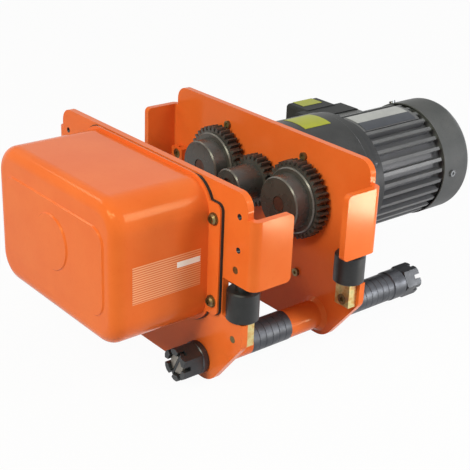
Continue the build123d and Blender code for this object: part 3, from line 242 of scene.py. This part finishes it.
looks = {"anodizedPlate": anodizedLook, "barePlate": bareLook, "printedPlate": printLook,
         "whiteFilm": whiteLook, "orangePowderCoat": orangeLook, "motorPaint": motorPaintLook,
         "litFramePaint": litFramePaintLook, "litCoverPaint": litCoverPaintLook, "shadedBoxPaint": shadedBoxPaintLook,
         "blackOxide": oxideLook, "satinOxide": satinLook, "threadSteel": threadLook,
         "rollerSteel": rollerLook, "machinedSteel": steelLook, "clearZinc": clearZincLook,
         "brownAxleSteel": axleLook, "coreSheet": coreLook, "copperWire": copperLook,
         "gasketRubber": rubberLook, "blackPolyamide": plasticLook, "greyPolyamide": stripLook}
finishes = {name: mottled(name, look) for name, look in looks.items()}
print("plain finishes made:", len(finishes))

# yellow-chromated zinc: pale brass yellow that shifts to green and rose over a few millimetres
yellowZincLook = {"stops": ((0.30, "#B7B27A"), (0.45, "#D6C48C"), (0.58, "#C9A463"), (0.70, "#B9957F")),
                  "patchMm": 9, "rough": 0.32, "metallic": 0.85}
# the same coat on screws, a darker copy: the darkening is painted shade
shadedZincLook = {"stops": ((0.30, "#6A6749"), (0.45, "#857852"), (0.58, "#77603F"), (0.70, "#695748")),
                "patchMm": 5, "rough": 0.4, "metallic": 0.85}
for name, look in (("yellowZinc", yellowZincLook), ("shadedZinc", shadedZincLook)):
    material, tree, main = newMaterial(name, **{"Metallic": look["metallic"], "Roughness": look["rough"]})
    coords = addNode(tree, "TexCoord", {})
    patch = addNode(tree, "TexNoise", {"Scale": perMm(look["patchMm"]), "Detail": noiseSet["coarse"]},
                    [("Vector", coords, "Object")])
    ramp = addNode(tree, "ValToRGB", {}, [("Fac", patch, "Fac")])
    stops = ramp.color_ramp.elements
    while len(stops) < len(look["stops"]):
        stops.new(0.5)
    for stop, (place, tone) in zip(stops, look["stops"]):
        stop.position, stop.color = place, hexColor(tone)
    tree.links.new(ramp.outputs["Color"], main.inputs["Base Color"])
    finishes[name] = material

# printed film: ground tint with pale rules, one every pitch along z
ruleLook = {"ground": "#DF6A35", "rule": "#F2AC7A", "pitchMm": 2.6, "share": (0.35, 0.65),
            "shader": {"Roughness": 0.35, "IOR": 1.42}}
material, tree, main = newMaterial("ruledFilm", **ruleLook["shader"])
coords = addNode(tree, "TexCoord", {})
rules = addNode(tree, "TexWave", {"bands_direction": "Z", "Scale": perMm(ruleLook["pitchMm"]) * waveTurn},
                [("Vector", coords, "Object")])
share = addNode(tree, "MapRange", {1: ruleLook["share"][0], 2: ruleLook["share"][1]}, [(0, rules, "Fac")])
color = addNode(tree, "Mix", {"data_type": "RGBA", 6: hexColor(ruleLook["ground"]),
                              7: hexColor(ruleLook["rule"])}, [(0, share, 0)])
tree.links.new(color.outputs[2], main.inputs["Base Color"])
finishes["ruledFilm"] = material

# turned and oiled steel: dark brown-black, tool rings round the axis, edges lighter in a bright band that
# is partly rubbed wear and partly a painted highlight
# real tool rings lie about 0.3 mm apart, here they are drawn wide enough to show
turnedLook = {"dark": "#42403F", "light": "#4B4948", "bright": "#C9C0B8", "brightShare": 0.08,
              "ringMm": 1.6, "ringWander": 0.6, "ringDetail": 1.0, "lineMm": (0.9, 40, 40),
              "patchMm": 18, "rough": (0.24, 0.32), "bump": 0.25, "ringDeep": 0.02,
              "edgeMm": (0.05, 1.5), "shader": {"Metallic": 0.18}}


def turnedSteel(name, axis, edges):
    # rings: sine waves of the distance from the axis along x; bright in a band about each edge's x,
    # partly rubbed wear and partly a painted highlight
    look = turnedLook
    material, tree, main = newMaterial(name, **look["shader"])
    coords = addNode(tree, "TexCoord", {})
    centred = addNode(tree, "Mapping", {"Location": (0, -axis.y * mm, -axis.z * mm)},
                      [("Vector", coords, "Object")])
    rings = addNode(tree, "TexWave", {"wave_type": "RINGS", "rings_direction": "X",
                                      "Scale": perMm(look["ringMm"]) * waveTurn,
                                      "Distortion": look["ringWander"], "Detail": look["ringDetail"]},
                    [("Vector", centred, 0)])
    drawn = addNode(tree, "Mapping", {"Scale": tuple(perMm(size) for size in look["lineMm"])},
                    [("Vector", coords, "Object")])
    lines = addNode(tree, "TexNoise", {"Scale": 1.0, "Detail": noiseSet["fine"]}, [("Vector", drawn, 0)])
    patch = addNode(tree, "TexNoise", {"Scale": perMm(look["patchMm"]), "Detail": noiseSet["coarse"]},
                    [("Vector", coords, "Object")])
    drift = addNode(tree, "MapRange", {1: noiseSet["patch"][0], 2: noiseSet["patch"][1]},
                    [(0, patch, "Fac")])
    base = addNode(tree, "Mix", {"data_type": "RGBA", 6: hexColor(look["dark"]),
                                 7: hexColor(look["light"])}, [(0, drift, 0)])
    across = addNode(tree, "SeparateXYZ", {}, [("Vector", coords, "Object")])
    # the edge bands: partly rubbed wear, partly a painted highlight
    wearAndGlint = None
    halfBand = (look["edgeMm"][1] - look["edgeMm"][0]) / 2
    for edge in edges:
        inBand = addNode(tree, "Math", {"operation": "COMPARE", 1: edge * mm, 2: halfBand * mm},
                         [(0, across, "X")])
        wearAndGlint = inBand if wearAndGlint is None else addNode(tree, "Math", {"operation": "ADD"},
                                                   [(0, wearAndGlint, 0), (1, inBand, 0)])
    share = addNode(tree, "MapRange", {1: 0.0, 2: 1.0, 3: 0.0, 4: look["brightShare"]}, [(0, wearAndGlint, 0)])
    color = addNode(tree, "Mix", {"data_type": "RGBA", 7: hexColor(look["bright"])},
                    [(0, share, 0), (6, base, 2)])
    relief = addNode(tree, "Math", {"operation": "ADD"}, [(0, rings, "Fac"), (1, lines, "Fac")])
    bump = addNode(tree, "Bump", {"Strength": look["bump"], "Distance": look["ringDeep"] * mm},
                   [("Height", relief, 0)])
    rough = addNode(tree, "MapRange", {1: noiseSet["rough"][0], 2: noiseSet["rough"][1],
                                       3: look["rough"][0], 4: look["rough"][1]}, [(0, patch, "Fac")])
    for socket, node, output in (("Base Color", color, 2), ("Roughness", rough, 0), ("Normal", bump, 0)):
        tree.links.new(node.outputs[output], main.inputs[socket])
    return material


# each turned piece's body, and its bright edges, partly rubbed wear and partly a painted highlight, by
# their distance in mm from its innermost face
turnedPieces = {"drive_wheel_near": ("drive_wheel_near", (0, 19)),
                "drive_wheel_far": ("drive_wheel_far", (0, 19)),
                "idler_wheel_near": ("idler_wheel_near", (0, 19)),
                "idler_wheel_far": ("idler_wheel_far", (0, 19)),
                "pinion_shaft": ("output", (0,))}
for node, (body, depths) in turnedPieces.items():
    face = min(boxMm(node)[:, 0], key=abs)
    edges = [face + np.sign(face) * (depth + np.mean(turnedLook["edgeMm"])) for depth in depths]
    finishes[node] = turnedSteel("turnedSteel." + node, axes[body], edges)

# which finish goes on which nodes
coats = {
    "orangePowderCoat": ["motor_side_plate", "control_side_plate", "spacer_tubes", "inner_sleeves",
                         "control_cover", "upper_roller_blocks"],
    "motorPaint": ["gear_case", "gear_case_lid", "motor_front_shield"],
    "shadedBoxPaint": ["terminal_box", "terminal_lid"],
    "litFramePaint": ["motor_frame", "motor_rear_shield"],
    "litCoverPaint": ["fan_cover"],
    "blackOxide": ["outer_sleeves", "inner_washers", "outer_washers", "thick_washers"],
    "satinOxide": ["castle_nuts", "split_pins", "gear_lid_bolts", "terminal_screws"],
    "rollerSteel": ["guide_roller_motor_near", "guide_roller_motor_far", "guide_roller_control_near",
                    "guide_roller_control_far"],
    "yellowZinc": ["lower_roller_blocks"],
    # these screws take the darker zinc, which is painted shade
    "shadedZinc": ["block_screws", "gear_case_screws", "cover_screws"],
    "clearZinc": ["fan_cover_screws"],
    "machinedSteel": ["tie_shafts", "axle_rings", "wheel_bearings", "roller_pins", "output_gear",
                      "intermediate_shaft", "intermediate_gear", "gear_bearings", "motor_bearings",
                      "motor_shaft", "mounting_tray", "tray_posts"],
    "brownAxleSteel": ["wheel_axles"],
    "coreSheet": ["stator_core", "rotor_core", "transformer"],
    "copperWire": ["stator_winding"],
    "gasketRubber": ["cover_gasket"],
    "blackPolyamide": ["cooling_fan", "contactors", "cable_glands"],
    "greyPolyamide": ["terminal_strip"],
}
coats.update({node: [node] for node in turnedPieces})
for finish, nodes in coats.items():
    for node in nodes:
        slots = frame["nodes"][node].data.materials
        slots.clear()
        slots.append(finishes[finish])
print("nodes coated:", sum(len(nodes) for nodes in coats.values()))


def gridMesh(name, points, closedU=False, closedV=False):
    # a surface from an array of points [u, v, xyz]: each cell of the grid becomes one quad
    rows, columns = points.shape[:2]
    index = np.arange(rows * columns).reshape(rows, columns)
    if closedU:
        index = np.vstack((index, index[:1]))
    if closedV:
        index = np.hstack((index, index[:, :1]))
    quads = np.stack((index[:-1, :-1], index[1:, :-1], index[1:, 1:], index[:-1, 1:]), axis=-1)
    mesh = bpy.data.meshes.new(name)
    mesh.from_pydata(points.reshape(-1, 3).tolist(), [], quads.reshape(-1, 4).tolist())
    mesh.update()
    piece = bpy.data.objects.new(name, mesh)
    scene.collection.objects.link(piece)
    return piece


def thinPlate(name, points, plate):  # an outer face of grid points in mm, thickened inwards
    piece = gridMesh(name, points * mm)
    skin = piece.modifiers.new("thickness", "SOLIDIFY")
    skin.thickness, skin.offset = plate["thick"] * mm, -1.0
    piece.data.materials.append(finishes[plate["finish"]])
    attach(piece, "trolley")


# bare plates bent to the skins of the gear case and the motor: (x, r cos a, axis + r sin a)
# start is from the node's end next to the beam, turn in degrees from the far side, lift above the skin
bentSteps, flatSteps = (9, 25), 5  # grid points along and across
casePlateSet = {"node": "gear_case", "start": 45, "long": 43, "turn": (103.5, 77), "lift": 0.45,
                "thick": 0.35, "finish": "anodizedPlate", "slot": "bright_steel"}
motorPlateSet = {"node": "motor_frame", "start": 4, "long": 94, "turn": (101.5, 84), "lift": 0.5,
                 "thick": 0.4, "finish": "barePlate", "slot": "bright_steel"}
motorFieldSet = {"node": "motor_frame", "start": 4, "long": 94, "turn": (114, 101.7), "lift": 0.5,
                 "thick": 0.4, "finish": "printedPlate", "slot": "bright_steel"}
for name, plate in (("casePlate", casePlateSet), ("motorPlate", motorPlateSet),
                    ("motorField", motorFieldSet)):
    low, high = boxMm(plate["node"])
    start, centre = low[0] + plate["start"], axes["rotor"].z
    radius = np.round(high[2] - centre, 1) + plate["lift"]  # rounded, as facets fall short of the curve
    length, angle = np.meshgrid(np.linspace(start, start + plate["long"], bentSteps[0]),
                                np.radians(np.linspace(*plate["turn"], bentSteps[1])), indexing="ij")
    thinPlate(name, np.stack((length, radius * np.cos(angle), centre + radius * np.sin(angle)), axis=-1),
              plate)

# bare plate on the terminal lid, margin from its outer edge: a flat grid (x, y, z)
lidPlateSet = {"node": "terminal_lid", "start": 27.5, "long": 36, "margin": 1, "deep": 22.5, "lift": 0.35,
               "thick": 0.3, "finish": "anodizedPlate", "slot": "bright_steel"}
low, high = boxMm(lidPlateSet["node"])
start, end = low[0] + lidPlateSet["start"], high[1] - lidPlateSet["margin"]
length, depth = np.meshgrid(np.linspace(start, start + lidPlateSet["long"], flatSteps),
                            np.linspace(end - lidPlateSet["deep"], end, flatSteps), indexing="ij")
top = np.full_like(length, high[2] + lidPlateSet["lift"])
thinPlate("lidPlate", np.stack((length, depth, top), axis=-1), lidPlateSet)

# thread liners in the tapped holes of the control plate
# r = bore + depth |2 (x / pitch mod 1) - 1| inside, a plain cylinder outside, carried round the hole
# end is from the plate's ends, down from its upper edge
linerSet = {"node": "control_side_plate", "end": 25, "down": (64, 26.5), "long": 8, "bore": 2.75,
            "depth": 0.5, "outer": 3.38, "pitch": 1.25, "stepsAlong": 65, "stepsRound": 48}
low, high = boxMm(linerSet["node"])
steps = np.linspace(low[0], low[0] + linerSet["long"], linerSet["stepsAlong"])
turns = (steps - steps[0]) / linerSet["pitch"]
ridge = linerSet["bore"] + linerSet["depth"] * np.abs(2 * (turns % 1) - 1)
profileX = np.concatenate((steps, steps[::-1]))[:, None]
profileR = np.concatenate((ridge, np.full_like(steps, linerSet["outer"])))[:, None]
around = np.linspace(0, 2 * np.pi, linerSet["stepsRound"], endpoint=False)
shape = np.stack((np.tile(profileX, (1, len(around))), profileR * np.cos(around),
                  profileR * np.sin(around)), axis=-1)
for side, y in (("Near", low[1] + linerSet["end"]), ("Far", high[1] - linerSet["end"])):
    for level, down in zip(("Low", "High"), linerSet["down"]):
        liner = gridMesh("threadLiner" + side + level, (shape + (0, y, high[2] - down)) * mm,
                         closedU=True, closedV=True)
        liner.data.materials.append(finishes["threadSteel"])
        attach(liner, "trolley")

# bare ruled plate on the side of the control box and its blank field: flat grids (x, y, z)
# start is from the box's front, foot from its lower rim, and the rim stands out beyond its side
sidePlateSet = {"node": "control_cover", "rim": 18.6, "start": 23.5, "long": 87, "foot": 56.7, "tall": 42,
                "lift": 0.15, "thick": 0.12, "finish": "ruledFilm", "slot": "orange_paint"}
fieldSet = {"node": "control_cover", "rim": 18.6, "start": 79.4, "long": 30.1, "foot": 84.1, "tall": 6.6,
            "lift": 0.3, "thick": 0.12, "finish": "whiteFilm", "slot": "grey_plastic"}
for name, plate in (("sidePlate", sidePlateSet), ("blankField", fieldSet)):
    first = boxMm(plate["node"])[0] + (plate["start"], plate["rim"] - plate["lift"], plate["foot"])
    last = first + (plate["long"], 0, plate["tall"])
    length, height = np.meshgrid(np.linspace(first[0], last[0], flatSteps),
                                 np.linspace(first[2], last[2], flatSteps), indexing="ij")
    thinPlate(name, np.stack((length, np.full_like(length, first[1]), height), axis=-1), plate)
print("plates added")


def seenShare(tree):  # 1 for what the camera sees straight on, mirrored or through glass, else 0
    path = addNode(tree, "LightPath", {})
    seen = addNode(tree, "Math", {"operation": "MAXIMUM"},
                   [(0, path, "Is Camera Ray"), (1, path, "Is Glossy Ray")])
    return addNode(tree, "Math", {"operation": "MAXIMUM"},
                   [(0, seen, 0), (1, path, "Is Transmission Ray")])


# pale floor, white where it is seen but for the shadows, and a white world of little light
stageSet = {"half": 9000, "floor": "#C8C8C8", "floorRough": 0.9, "whiteShare": 0.96, "ambient": 0.2,
            "white": (1, 1, 1, 1)}
span = np.linspace(-stageSet["half"], stageSet["half"], 3) * mm
floorPoints = np.stack((*np.meshgrid(span, span, indexing="ij"), np.full((3, 3), cadBox[0][2])), axis=-1)
floor = gridMesh("floor", floorPoints)
material, tree, main = newMaterial("paleFloor", **{"Base Color": hexColor(stageSet["floor"]),
                                                   "Roughness": stageSet["floorRough"]})
share = addNode(tree, "Math", {"operation": "MULTIPLY", 1: stageSet["whiteShare"]},
                [(0, seenShare(tree), 0)])
white = addNode(tree, "Emission", {"Color": stageSet["white"], "Strength": 1.0})
mix = addNode(tree, "MixShader", {}, [(0, share, 0), (1, main, 0), (2, white, 0)])
tree.links.new(mix.outputs[0], tree.nodes["Material Output"].inputs["Surface"])
floor.data.materials.append(material)

world = bpy.data.worlds.new("studio")
scene.world = world
world.use_nodes = True
tree = world.node_tree
tree.nodes.clear()
level = addNode(tree, "MapRange", {3: stageSet["ambient"], 4: 1.0}, [(0, seenShare(tree), 0)])
sky = addNode(tree, "Background", {"Color": stageSet["white"]}, [("Strength", level, 0)])
addNode(tree, "OutputWorld", {}, [("Surface", sky, 0)])

# soft studio panels and small cards: place, aim and size in mm, power in watts, tint
lampSet = {
    "keyPanel": ((286, -693, 530), (0, -60, 20), (190, 320), 2.5, "#FFFFFF"),
    "cornerPanel": ((-900, -535, 915), (-150, -60, 40), (220, 200), 4.2, "#FFF8E0"),
    "leftPanel": ((-2300, -250, 1500), (0, 0, 40), (1100, 800), 40, "#FAFFDC"),
    "backPanel": ((-900, 1250, 1150), (-60, 0, 40), (700, 260), 4, "#FFF4DC"),
    "rightPanel": ((1060, -980, 150), (120, -60, 20), (260, 380), 7.0, "#FFFFFF"),
    "flangeCard": ((402, -503, -118), (62, -190, 64), (70, 76), 0.7, "#FFFCF0"),
    "edgeCard": ((249, -537, -119), (-66, -190, 79), (60, 16), 0.16, "#FFFCF0"),
    "rearPanel": ((2300, 260, 640), (100, 0, 0), (600, 600), 10, "#FFFFFF"),
    "topPanel": ((0, 200, 2200), (0, 0, 0), (1600, 1200), 4, "#FFF4DC"),
}
for name, (place, aim, size, power, tint) in lampSet.items():
    data = bpy.data.lights.new(name, "AREA")
    data.shape, data.energy, data.color = "RECTANGLE", power, hexColor(tint)[:3]
    data.size, data.size_y = size[0] * mm, size[1] * mm
    lamp = bpy.data.objects.new(name, data)
    lamp.location = Vector(place) * mm
    lamp.rotation_euler = (Vector(aim) - Vector(place)).to_track_quat("-Z", "Y").to_euler()
    scene.collection.objects.link(lamp)
print("stage and lamps set")
